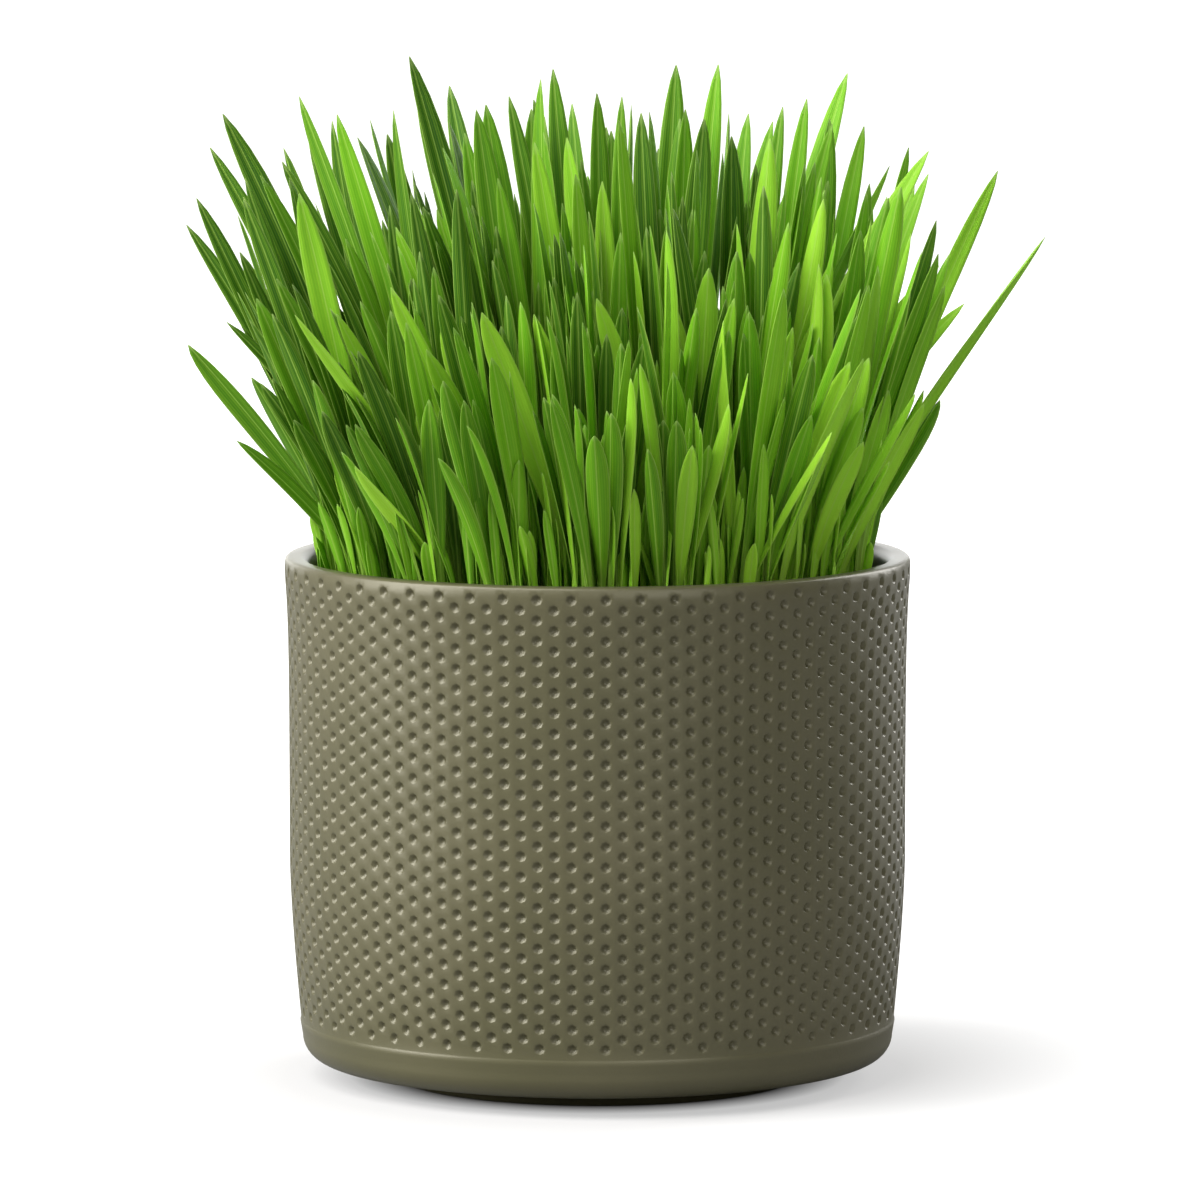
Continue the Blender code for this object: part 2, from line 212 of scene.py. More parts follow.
def add_attribute(obj, name, values):
    attribute = obj.data.attributes.new(name, "FLOAT", "POINT")
    attribute.data.foreach_set("value", np.asarray(values, np.float32).ravel())


def place_piece(obj, material, nodes):
    obj.data.materials.clear()
    obj.data.materials.append(material)
    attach(obj, BODY)
    if nodes:
        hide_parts(*nodes)


# Pot

def wall_radius(z):
    """Outside of the pot at height z: nearly upright, flared a little at the rim, drawn in low down."""
    flare = FLARE * np.exp((z - FLARE_HEIGHT) / FLARE_REACH)
    drawn_in = DRAWN_IN * (np.clip(DRAWN_IN_BELOW - z, 0, None) / DRAWN_IN_REACH) ** 1.5
    return WALL_RADIUS + flare - drawn_in


def arc(middle_radius, middle_height, size, start, end, steps):
    """Points (radius, height) along an arc of the profile, angles in degrees from straight outwards."""
    angle = np.radians(np.linspace(start, end, steps))
    return np.column_stack([middle_radius + size * np.cos(angle), middle_height + size * np.sin(angle)])


def outer_profile():
    """The dimpled stretch of the profile: the wall from the band's top, then the rim's tighter outer edge."""
    z = np.linspace(BAND_TOP, POT_HEIGHT - RIM_EDGE_ROUND, 160)
    eased = RIM_EASE * (np.clip(z - POT_HEIGHT + RIM_EASE_REACH, 0, None) / RIM_EASE_REACH) ** 2
    wall = np.column_stack([wall_radius(z) - eased, z])
    rim = arc(wall[-1, 0] - RIM_EDGE_ROUND, POT_HEIGHT - RIM_EDGE_ROUND, RIM_EDGE_ROUND, 0, 90, 30)
    return np.vstack([wall, rim[1:]])


def along_profile(profile, distance):
    """Place and outward normal, each as (radius, height), at distances along a profile."""
    step = np.linalg.norm(np.diff(profile, axis=0), axis=1)
    length = np.concatenate([[0], np.cumsum(step)])
    place = np.column_stack([np.interp(distance, length, profile[:, axis]) for axis in (0, 1)])
    tangent = np.gradient(profile, length, axis=0)
    slope = np.column_stack([np.interp(distance, length, tangent[:, axis]) for axis in (0, 1)])
    slope /= np.linalg.norm(slope, axis=1)[:, None]
    return place, np.column_stack([slope[:, 1], -slope[:, 0]])


def around(place, angle):
    """Points (radius, height) turned to their angles round the axis."""
    return np.column_stack([place[:, 0] * np.cos(angle), place[:, 0] * np.sin(angle), place[:, 1]])


def pot_mesh():
    """The whole pot as one closed skin.

    The dimpled stretch is a net with two steps to a column and two rows to a pitch. A dimple sits on a point
    of the net, and its eight neighbours are its cell's edge. Between them lie rings at shares of its radius,
    each pushed in along the normal by its share of the depth. Above and below it plain rings follow the
    profile.
    """
    count = 2 * DIMPLE_COLUMNS
    turn = 2 * np.pi / count
    profile = outer_profile()
    length = np.concatenate([[0], np.cumsum(np.linalg.norm(np.diff(profile, axis=0), axis=1))])
    first = np.interp(FIRST_DIMPLE_HEIGHT, profile[:, 1], length)
    rows = 2 * DIMPLES_IN_COLUMN + 1
    row_at = first + DIMPLE_PITCH / 2 * (1 - np.arange(rows))

    column, row = np.meshgrid(np.arange(count), np.arange(rows))
    place, normal = along_profile(profile, row_at[row.ravel()])
    is_dimple = (column % 2 == 1) & (row % 2 == (column // 2) % 2) & (row > 0) & (row < rows - 1)
    net_place = place - normal * (is_dimple.ravel() * DIMPLE_DEPTH)[:, None]
    points = [around(net_place, column.ravel() * turn)]

    def net(column_index, row_index):
        return row_index * count + column_index % count

    dimple_row, dimple_column = np.nonzero(is_dimple)
    centre = net(dimple_column, dimple_row)
    steps = ((1, 0), (1, -1), (0, -1), (-1, -1), (-1, 0), (-1, 1), (0, 1), (1, 1))
    edge = np.column_stack([net(dimple_column + across, dimple_row + down) for across, down in steps])

    rings = []
    bearing = np.arange(8) * np.pi / 4
    start = rows * count
    for share, sunk in DIMPLE_RINGS:
        up = share * DIMPLE_RADIUS * np.sin(bearing)
        across = share * DIMPLE_RADIUS * np.cos(bearing)
        at = (row_at[dimple_row][:, None] + up).ravel()
        place, normal = along_profile(profile, at)
        angle = (dimple_column * turn)[:, None] + across / place[:, 0].reshape(-1, 8)
        points.append(around(place - normal * sunk * DIMPLE_DEPTH, angle.ravel()))
        rings.append(start + np.arange(len(at)).reshape(-1, 8))
        start += len(at)

    fan = [np.repeat(centre[:, None], 8, 1), rings[0], np.roll(rings[0], -1, 1)]
    faces = [np.stack(fan, -1).reshape(-1, 3)]
    for inner, outer in zip(rings, rings[1:] + [edge]):
        quad = [inner, outer, np.roll(outer, -1, 1), np.roll(inner, -1, 1)]
        faces.append(np.stack(quad, -1).reshape(-1, 4))

    plain_top = np.arange(1, count, 2)[np.arange(DIMPLE_COLUMNS) % 2 == 0]
    plain_low = np.arange(1, count, 2)[np.arange(DIMPLE_COLUMNS) % 2 == (rows - 1) % 2]
    for columns, upper in ((plain_top, 0), (plain_low, rows - 2)):
        for side in (-1, 0):
            left, right = columns + side, columns + side + 1
            quad = [net(left, upper), net(left, upper + 1), net(right, upper + 1), net(right, upper)]
            faces.append(np.stack(quad, -1))

    crest = along_profile(profile, np.linspace(row_at[0], length[-1], 7)[1:])[0]
    inner_heights = (POT_HEIGHT - 2 * RIM_INNER_ROUND, SOIL_TOP - 6 * MM, FLOOR_HEIGHT)
    inside = np.vstack([
        crest,
        arc(RIM_RADIUS - RIM_INNER_ROUND, POT_HEIGHT - RIM_INNER_ROUND, RIM_INNER_ROUND, 90, 180, 9)[1:],
        [[INNER_RADIUS, height] for height in inner_heights],
    ])
    step_out = wall_radius(BAND_TOP) + BAND_PROUD
    z = np.linspace(BAND_TOP - BAND_STEP_HEIGHT, FOOT_HEIGHT + CORNER_ROUND, 5)[1:]
    straight = np.linspace(step_out, CORNER_RADIUS_FROM_AXIS, 5)[1:]
    below = np.vstack([
        [[wall_radius(BAND_TOP) + 0.3 * BAND_PROUD, BAND_TOP - 0.2 * MM]],
        [[step_out, BAND_TOP - BAND_STEP_HEIGHT]],
        np.column_stack([straight, z]),
        arc(CORNER_RADIUS_FROM_AXIS - CORNER_ROUND, FOOT_HEIGHT + CORNER_ROUND, CORNER_ROUND, 0, -90, 12)[1:],
        [[FOOT_RADIUS + 1.2 * MM, FOOT_HEIGHT], [FOOT_RADIUS, FOOT_HEIGHT - 0.8 * MM]],
        [[FOOT_RADIUS, 0.6 * MM], [FOOT_RADIUS - 0.6 * MM, 0.0]],
    ])
    ring = np.arange(count)
    for path, from_row, upwards in ((inside, 0, True), (below, rows - 1, False)):
        previous = net(ring, from_row)
        for radius, height in path:
            points.append(around(np.full((count, 2), (radius, height)), ring * turn))
            here = start + ring
            start += count
            low, high = (previous, here) if upwards else (here, previous)
            faces.append(np.stack([low, np.roll(low, -1), np.roll(high, -1), high], -1))
            previous = here
        points.append(np.array([[0.0, 0.0, path[-1][1]]]))
        middle = np.full(count, start)
        start += 1
        low, high = (np.roll(previous, -1), middle) if upwards else (middle, np.roll(previous, -1))
        faces.append(np.stack([previous, low, high], -1))
    return np.vstack(points), faces


def build_pot(material):
    points, faces = pot_mesh()
    pot = mesh_object("pot_dimpled", points, faces)
    place_piece(pot, material, ["pot"])


# Soil

def unevenness(x, y):
    """Height of the soil's lumps: a sum of waves, each crossed by a longer one, at turned bearings."""
    height = np.zeros_like(x)
    for number, (wave, size) in enumerate(SOIL_WAVES):
        bearing = 1.1 + 2.4 * number
        phase = (x * np.cos(bearing) + y * np.sin(bearing)) * 2 * np.pi / (wave * MM)
        cross = (y * np.cos(bearing + 0.7) - x * np.sin(bearing + 0.7)) * 2 * np.pi / (wave * 1.3 * MM)
        height += size * MM * np.sin(phase + number) * np.cos(cross + 2 * number)
    return height


def build_soil(material):
    """A closed round plug. Its top is a polar grid lifted by the unevenness, out to a gap from the wall."""
    rings, count = SOIL_RINGS, SOIL_SPOKES
    radius = np.linspace(0, 1, rings)[1:] ** 0.8 * (INNER_RADIUS - GAP)
    angle = np.arange(count) * 2 * np.pi / count
    r, a = np.meshgrid(radius, angle, indexing="ij")
    x, y = r * np.cos(a), r * np.sin(a)
    grains = np.random.default_rng(3).normal(0, GRAIN, x.shape)
    z = SOIL_TOP + unevenness(x, y) + grains
    top = np.column_stack([x.ravel(), y.ravel(), z.ravel()])
    low = np.column_stack([x[-1], y[-1], np.full(count, SOIL_BOTTOM)])
    ends = np.array([[0.0, 0.0, SOIL_TOP], [0.0, 0.0, SOIL_BOTTOM]])
    points = np.vstack([top, low, ends])
    ring = np.arange(count)
    faces = []
    for step in range(rings - 1):
        inner, outer = step * count + ring, (step + 1) * count + ring
        if step == rings - 2:
            faces.append(np.stack([np.roll(inner, -1), inner, outer, np.roll(outer, -1)], -1))
        else:
            faces.append(np.stack([inner, outer, np.roll(outer, -1), np.roll(inner, -1)], -1))
    middle_top = np.full(count, len(points) - 2)
    middle_low = np.full(count, len(points) - 1)
    last = (rings - 1) * count + ring
    faces.append(np.stack([middle_top, ring, np.roll(ring, -1)], -1))
    faces.append(np.stack([middle_low, np.roll(last, -1), last], -1))
    soil = mesh_object("soil_surface", points, faces)
    place_piece(soil, material, ["soil"])


GOLDEN = (1 + 5**0.5) / 2
LUMP_POINTS = np.array([
    (-1, GOLDEN, 0), (1, GOLDEN, 0), (-1, -GOLDEN, 0), (1, -GOLDEN, 0),
    (0, -1, GOLDEN), (0, 1, GOLDEN), (0, -1, -GOLDEN), (0, 1, -GOLDEN),
    (GOLDEN, 0, -1), (GOLDEN, 0, 1), (-GOLDEN, 0, -1), (-GOLDEN, 0, 1),
]) / np.hypot(1, GOLDEN)
LUMP_FACES = np.array([
    (0, 11, 5), (0, 5, 1), (0, 1, 7), (0, 7, 10), (0, 10, 11), (1, 5, 9), (5, 11, 4), (11, 10, 2), (10, 7, 6),
    (7, 1, 8), (3, 9, 4), (3, 4, 2), (3, 2, 6), (3, 6, 8), (3, 8, 9), (4, 9, 5), (2, 4, 11), (6, 2, 10),
    (8, 6, 7), (9, 8, 1),
])


def build_crumbs(material):
    """Loose lumps of soil: twenty-sided grains with every corner moved, spread evenly over the top."""
    draw = np.random.default_rng(5)
    radius = np.sqrt(draw.uniform(0, 1, CRUMB_COUNT)) * (INNER_RADIUS - GAP - LARGEST_CRUMB)
    angle = draw.uniform(0, 2 * np.pi, CRUMB_COUNT)
    size = draw.uniform(0, 1, CRUMB_COUNT) ** 2.5 * (LARGEST_CRUMB - SMALLEST_CRUMB) + SMALLEST_CRUMB
    x, y = radius * np.cos(angle), radius * np.sin(angle)
    middle = np.column_stack([x, y, SOIL_TOP + unevenness(x, y) + 0.25 * size])
    shape = LUMP_POINTS * draw.uniform(0.65, 1.25, (CRUMB_COUNT, len(LUMP_POINTS), 1))
    stretch = draw.uniform(0.6, 1.2, (CRUMB_COUNT, 1, 3)) * size[:, None, None]
    points = middle[:, None] + shape * stretch
    faces = LUMP_FACES[None] + (np.arange(CRUMB_COUNT) * len(LUMP_POINTS))[:, None, None]
    crumbs = mesh_object("soil_crumbs", points.reshape(-1, 3), [faces.reshape(-1, 3)], smooth=False)
    place_piece(crumbs, material, [])


# Grass

def clump_places():
    """Middle of each clump: rings round the middle of the pot, each ring turned half a step from the last."""
    places = []
    for ring, (count, radius) in enumerate(CLUMP_RINGS):
        angle = (np.arange(count) + 0.5 * (ring % 2)) * 2 * np.pi / count
        places.append(np.column_stack([radius * np.cos(angle), radius * np.sin(angle)]))
    return np.vstack(places)


def width_share(s):
    """Share of a blade's full width at share s of its height: slim foot, broad past the middle, blunt tip."""
    rise = 0.5 - 0.5 * np.cos(np.pi * np.minimum(s / WIDEST_AT, 1))
    return (BASE_WIDTH + (1 - BASE_WIDTH) * rise) * (1 - s**TIP_POWER) ** TIP_ROUNDING


def blade_edges(blade, s):
    """Left and right edge of a blade at shares s of its height.

    The middle line runs from root to tip, its sideways travel following share to the power bow. The width
    lies level across it, facing a direction that turns evenly from root to tip.
    """
    root, tip, width, facing, twist, bow = blade
    s = np.asarray(s, float)
    middle = np.column_stack([
        root[0] + (tip[0] - root[0]) * s**bow,
        root[1] + (tip[1] - root[1]) * s**bow,
        root[2] + (tip[2] - root[2]) * s,
    ])
    angle = facing + twist * s
    half = 0.5 * width * width_share(s)
    across = np.column_stack([np.cos(angle), np.sin(angle), np.zeros(len(s))]) * half[:, None]
    return middle - across, middle + across


def level_points(blade, levels):
    """Points across the straight-sided blade at each level, far away where the blade doesn't reach."""
    left, right = blade_edges(blade, STATIONS)
    share = np.linspace(0, 1, 7)[None, :, None]
    at = [np.interp(levels, left[:, 2], side[:, axis]) for side in (left, right) for axis in (0, 1)]
    low = np.column_stack(at[:2])[:, None, :]
    high = np.column_stack(at[2:])[:, None, :]
    points = low + (high - low) * share
    points[levels > blade[1][2]] = FAR_AWAY
    return points


class Stand:
    """The blades placed so far, as points across each of them at each level."""

    def __init__(self):
        self.levels = np.arange(SOIL_TOP + 1 * MM, POT_HEIGHT + TALLEST, LEVEL_STEP)
        self.points = np.empty((len(self.levels), BLADE_COUNT + BETWEEN_BLADES + LOW_BLADES, 7, 2))
        self.clumps = np.empty(BLADE_COUNT + BETWEEN_BLADES + LOW_BLADES, int)
        self.placed = []

    def fits(self, points, clump, clearance):
        """True where a blade clears the pot's mouth and the other blades, save low down in its own clump."""
        in_mouth = self.levels < MOUTH_HEIGHT
        if (np.hypot(points[in_mouth, :, 0], points[in_mouth, :, 1]) > MOUTH_RADIUS).any():
            return False
        count = len(self.placed)
        top = int((points[:, 3, 0] < FAR_AWAY).sum())
        gap = np.linalg.norm(self.points[:top, :count, 3] - points[:top, None, 3], axis=2)
        near = np.flatnonzero((gap < NEARBY).any(axis=0))
        for every in (5, 1):
            others = self.points[:top:every, near]
            own = points[:top:every, None, None]
            distance = np.linalg.norm(others[:, :, :, None] - own, axis=4).min(axis=(2, 3))
            low = self.levels[:top:every] < SOIL_TOP + FUSED_HEIGHT
            grown_together = low[:, None] & (self.clumps[near] == clump)
            if not (distance[~grown_together] > clearance).all():
                return False
        return True

    def keep(self, clump, blade, tone_and_painted_light, clearance=CLEARANCE):
        points = level_points(blade, self.levels)
        if not self.fits(points, clump, clearance):
            return False
        self.points[:, len(self.placed)] = points
        self.clumps[len(self.placed)] = clump
        self.placed.append((clump, blade, tone_and_painted_light))
        return True


def root_near(wanted, places, draw):
    """The clump nearest to a wanted place, and a root inside its crown, on the ground."""
    clump = int(np.argmin(np.linalg.norm(places - wanted, axis=1)))
    offset = wanted - places[clump] + draw.normal(0, ROOT_SCATTER, 2)
    reach = np.linalg.norm(offset)
    if reach > ROOT_SPREAD:
        offset *= ROOT_SPREAD * draw.uniform(0.75, 1.0) / reach
    place = places[clump] + offset
    return clump, np.array([place[0], place[1], SOIL_TOP])


def measured_blade(across, above, near_depth, far_depth, aside, places, draw):
    """A blade that ends at a measured tip: its root stands nearer the middle of the pot."""
    depth = draw.uniform(near_depth, far_depth) * MM
    tip = np.array([across * MM, depth, POT_HEIGHT + above * MM])
    inward = draw.uniform(0.45, 0.8)
    wanted = tip[:2] * inward + np.array([aside * MM, 0.0])
    reach = np.linalg.norm(wanted)
    wanted *= min(1.0, FURTHEST_ROOT / max(reach, 1e-9))
    clump, root = root_near(wanted, places, draw)
    width = draw.uniform(4.6, 7.0) * MM
    facing = draw.normal(0.0, 0.45)
    twist = draw.normal(0.0, TWIST_SPREAD)
    return clump, (root, tip, width, facing, twist, draw.uniform(1.25, 1.7))


def filling_blade(places, draw):
    """A blade of the rest of the grass: tall in the middle and the back, shorter at the edge and in front."""
    clump = int(draw.integers(len(places)))
    angle = draw.uniform(0, 2 * np.pi)
    reach = ROOT_SPREAD * np.sqrt(draw.uniform())
    place = places[clump] + reach * np.array([np.cos(angle), np.sin(angle)])
    outward = np.linalg.norm(place) / (60 * MM)
    in_front = max(0.0, -place[1] / (60 * MM))
    lowest = 74 - 50 * outward**2
    above = draw.uniform(lowest - 6 * in_front, 104 - 8 * outward - 44 * in_front) * MM
    lean = 1 + draw.uniform(0.12, 0.55)
    tip_place = place * lean + draw.normal((-LEAN_LEFT, 0), TIP_SCATTER)
    tip_place *= min(1.0, FURTHEST_OUT / np.linalg.norm(tip_place))
    root = np.array([place[0], place[1], SOIL_TOP])
    tip = np.array([tip_place[0], tip_place[1], POT_HEIGHT + above])
    width = draw.uniform(4.2, 6.6) * MM
    facing = draw.uniform(0, np.pi)
    twist = draw.normal(0.0, TWIST_SPREAD)
    return clump, (root, tip, width, facing, twist, draw.uniform(1.15, 1.6))


def cut_down(blade, above):
    """The same blade ended sooner, at a height above the rim."""
    root, tip = blade[:2]
    share = (POT_HEIGHT + above - SOIL_TOP) / (tip[2] - SOIL_TOP)
    return root, root + (tip - root) * min(1.0, share), *blade[2:]


def between_blade(places, draw):
    """A blade that closes the gaps behind: a little slimmer and shorter than the tallest round it."""
    clump, (root, tip, width, facing, twist, bow) = filling_blade(places, draw)
    outward = np.linalg.norm(root[:2]) / (60 * MM)
    in_front = max(0.0, -root[1] / (60 * MM))
    above = (99 - 8 * outward - 50 * in_front) * draw.uniform(0.72, 0.96) * MM
    return clump, cut_down((root, tip, BETWEEN_WIDTH * width, facing, twist, bow), above)


def low_blade(places, draw):
    """A blade of the undergrowth: slim, rooted also between the clumps, its tip among the others' stems."""
    clump, (root, tip, width, facing, twist, bow) = filling_blade(places, draw)
    root[:2] += (root[:2] - places[clump]) * (LOW_SPREAD - 1)
    tip[:2] = root[:2] + (tip[:2] - root[:2]) * LOW_LEAN
    outward = np.linalg.norm(root[:2]) / (60 * MM)
    in_front = max(0.0, -root[1] / (60 * MM))
    above = (90 - 10 * outward - 44 * in_front) * draw.uniform(0.15, 0.7) * MM
    above *= 1 - 0.7 * (abs(root[0]) / FURTHEST_ROOT) ** 4
    return clump, cut_down((root, tip, LOW_WIDTH * width, facing, twist, bow), above)


def painted_light(tip):
    """Painted light: how much brighter a blade is made, more to the right, and the more its tip is in front
    and low.
    """
    low = np.clip((POT_HEIGHT + PAINTED_LIGHT_BELOW - tip[2]) / PAINTED_LIGHT_BELOW, 0, 1)
    return PAINTED_LIGHT_RIGHT * tip[0] + PAINTED_LIGHT_FRONT_LOW * low * (tip[1] < 0)


def place_blades(places):
    """First the blades of the solids, by the same draws, then more between them and the undergrowth."""
    draw = np.random.default_rng(SEED)
    tones = np.random.default_rng(SEED + 1)
    stand = Stand()
    for tips, near_depth, far_depth, aside, group_tone_and_painted_light in GROUPS:
        for across, above in tips:
            tone_and_painted_light = group_tone_and_painted_light + tones.normal(0, TIP_TONE_SPREAD)
            for _ in range(TIP_DRAWS):
                blade = measured_blade(across, above, near_depth, far_depth, aside, places, draw)
                if stand.keep(*blade, tone_and_painted_light):
                    break
    for _ in range(MOST_DRAWS):
        if len(stand.placed) == BLADE_COUNT:
            break
        stand.keep(*filling_blade(places, draw), tones.normal(FILLING_TONE, FILLING_TONE_SPREAD))
    more = ((between_blade, BETWEEN_BLADES, BETWEEN_PAINTED_SHADE_TONE), (low_blade, LOW_BLADES, LOW_PAINTED_SHADE_TONE))
    for more_blade, count, tone_and_painted_light in more:
        wanted = len(stand.placed) + count
        for _ in range(MORE_DRAWS):
            if len(stand.placed) == wanted:
                break
            stand.keep(*more_blade(places, draw), tones.normal(tone_and_painted_light, MORE_TONE_SPREAD), MORE_CLEARANCE)
    return [(clump, blade, tone_and_painted_light + painted_light(blade[1])) for clump, blade, tone_and_painted_light in stand.placed]


def leaves_mesh(blades):
    """Fine blades, all at once: arrays of blade, station along, point round.

    Each blade's surface has two parameters: share s along and share q across, from -1 to 1. A point is the
    middle line at s, plus q times the half width across, minus the fold times |q| times the half width along
    the normal, plus half the thickness to either side. The fold is steeper at the foot, where a blade is
    rolled. The upper side runs left to right and the under side back again.
    """
    root, tip, width, facing, twist, bow = (np.array(part) for part in zip(*blades))
    s = 1 - np.linspace(1, 0.012, LEAF_STATIONS) ** 1.35
    power = s[None] ** bow[:, None]
    middle = np.stack([
        root[:, :1] + (tip - root)[:, :1] * power,
        root[:, 1:2] + (tip - root)[:, 1:2] * power,
        root[:, 2:] + (tip - root)[:, 2:] * s[None],
    ], axis=-1)
    middle[:, 0, 2] -= ROOT_DEPTH
    angle = facing[:, None] + twist[:, None] * s[None]
    across = np.stack([np.cos(angle), np.sin(angle), np.zeros_like(angle)], axis=-1)
    along = np.gradient(middle, axis=1)
    along /= np.linalg.norm(along, axis=2, keepdims=True)
    normal = np.cross(along, across)
    normal /= np.linalg.norm(normal, axis=2, keepdims=True)
    half = 0.5 * width[:, None] * width_share(s)[None]
    half *= np.interp(s, LEAF_WIDTH_AT, LEAF_WIDTH_SHARE)
    fold = LEAF_FOLD + FOOT_FOLD * np.exp(-s / FOOT_FOLD_REACH)

    q = np.linspace(-1, 1, LEAF_ACROSS)
    q = np.concatenate([q, q[::-1]])
    under = np.concatenate([np.zeros(LEAF_ACROSS), np.ones(LEAF_ACROSS)])
    thick = LEAF_MARGIN_THICKNESS + (LEAF_THICKNESS - LEAF_MARGIN_THICKNESS) * (1 - q**2)
    taper = np.clip(half / half.max(axis=1, keepdims=True) * 3, 0.15, 1)
    aside = half[..., None] * q
    lift = -fold[None, :, None] * half[..., None] * np.abs(q) + LEAF_RAISED
    lift = lift + taper[..., None] * thick * (under - 0.5)
    points = middle[:, :, None] + across[:, :, None] * aside[..., None] + normal[:, :, None] * lift[..., None]
    tips = tip[:, None] + normal[:, -1:] * LEAF_RAISED

    blade_count, ring_size = len(root), 2 * LEAF_ACROSS
    body_size = LEAF_STATIONS * ring_size
    start = (np.arange(blade_count) * (body_size + 1))[:, None, None]
    here = start + np.arange(body_size).reshape(1, LEAF_STATIONS, ring_size)
    after = np.roll(here, -1, axis=2)
    sides = np.stack([here[:, :-1], here[:, 1:], after[:, 1:], after[:, :-1]], -1).reshape(-1, 4)
    top = np.broadcast_to(start + body_size, (blade_count, 1, ring_size))
    end = np.stack([here[:, -1:], top, after[:, -1:]], -1).reshape(-1, 3)
    base = here[:, 0]
    all_points = np.concatenate([points.reshape(blade_count, -1, 3), tips], axis=1).reshape(-1, 3)

    def spread(body, last):
        whole = np.broadcast_to(body, (blade_count, LEAF_STATIONS, ring_size)).reshape(blade_count, -1)
        return np.concatenate([whole, np.broadcast_to(last, (blade_count, 1))], axis=1)

    marks = {
        "across": spread(q[None, None], 0.0),
        "along": spread(s[None, :, None], 1.0),
        "half_width": spread(half[..., None] / MM, 0.0),
    }
    return all_points, [sides, end, base], marks, body_size + 1


def build_grass(material, places):
    placed = place_blades(places)
    for clump in range(len(places)):
        mine = [(blade, tone_and_painted_light) for owner, blade, tone_and_painted_light in placed if owner == clump]
        points, faces, marks, size = leaves_mesh([blade for blade, _ in mine])
        leaves = mesh_object(f"blades_{clump + 1:02d}", points, faces)
        for name, values in marks.items():
            add_attribute(leaves, name, values)
        add_attribute(leaves, "tone_and_painted_light", np.repeat([tone_and_painted_light for _, tone_and_painted_light in mine], size))
        place_piece(leaves, material, [f"clump_{clump + 1:02d}"])


# Materials

class Tree:
    """Short ways to add and join a material's or a group's nodes."""

    def __init__(self, tree):
        self.tree = tree

    def add(self, kind, values=None, **settings):
        node = self.tree.nodes.new(kind)
        for name, value in settings.items():
            setattr(node, name, value)
        for socket, value in (values or {}).items():
            if isinstance(value, bpy.types.NodeSocket):
                self.tree.links.new(value, node.inputs[socket])
            else:
                node.inputs[socket].default_value = value
        return node

    def math(self, operation, first, second=0.0, third=0.0):
        return self.add("ShaderNodeMath", {0: first, 1: second, 2: third}, operation=operation).outputs[0]

    def mix(self, factor, first, second):
        return self.add("ShaderNodeMix", {0: factor, 6: first, 7: second}, data_type="RGBA").outputs[2]

    def ramp(self, value, low, high, start=0.0, end=1.0):
        values = {"Value": value, "From Min": low, "From Max": high, "To Min": start, "To Max": end}
        return self.add("ShaderNodeMapRange", values).outputs[0]

    def noise(self, scale, detail=3.0, roughness=0.5):
        coordinates = self.add("ShaderNodeTexCoord").outputs["Object"]
        values = {"Vector": coordinates, "Scale": scale, "Detail": detail, "Roughness": roughness}
        return self.add("ShaderNodeTexNoise", values).outputs["Fac"]

    def attribute(self, name):
        return self.add("ShaderNodeAttribute", attribute_name=name).outputs["Fac"]


def new_material(name):
    material = bpy.data.materials.new(name)
    material.use_nodes = True
    shader = material.node_tree.nodes["Principled BSDF"]
    return material, Tree(material.node_tree), shader


def join(tree, shader, **sockets):
    for name, value in sockets.items():
        tree.tree.links.new(value, shader.inputs[name.replace("_", " ")])


def ceramic_material():
    """Matte olive stoneware: faint cloudy colour, a fine grain and a soft gloss."""
    material, tree, shader = new_material("matte olive stoneware")
    cloud = tree.ramp(tree.noise(26, 4.0), 0.3, 0.7)
    colour = tree.mix(cloud, (0.074, 0.070, 0.033, 1), (0.090, 0.083, 0.042, 1))
    speck = tree.ramp(tree.noise(900, 2.0), 0.62, 0.75)
    colour = tree.mix(tree.math("MULTIPLY", speck, 0.35), colour, (0.075, 0.070, 0.042, 1))
    height = tree.noise(1400, 3.0)
    grain = tree.add("ShaderNodeBump", {"Strength": 0.25, "Distance": 0.08 * MM, "Height": height})
    roughness = tree.ramp(cloud, 0, 1, 0.36, 0.42)
    join(tree, shader, Base_Color=colour, Roughness=roughness, Normal=grain.outputs[0])
    shader.inputs["Specular IOR Level"].default_value = 0.68
    shader.inputs["Specular Tint"].default_value = (1.0, 0.95, 0.80, 1)
    return material


def soil_material():
    """Damp potting mix: dark brown with paler fibre and black crumbs."""
    material, tree, shader = new_material("damp potting soil")
    patches = tree.ramp(tree.noise(420, 5.0, 0.65), 0.35, 0.65)
    colour = tree.mix(patches, (0.012, 0.008, 0.005, 1), (0.062, 0.038, 0.022, 1))
    fibre = tree.ramp(tree.noise(1500, 2.0), 0.64, 0.72)
    colour = tree.mix(tree.math("MULTIPLY", fibre, 0.6), colour, (0.16, 0.105, 0.06, 1))
    height = tree.noise(900, 6.0, 0.7)
    bump = tree.add("ShaderNodeBump", {"Strength": 0.8, "Distance": 0.6 * MM, "Height": height})
    join(tree, shader, Base_Color=colour, Normal=bump.outputs[0])
    shader.inputs["Roughness"].default_value = 0.9
    return material


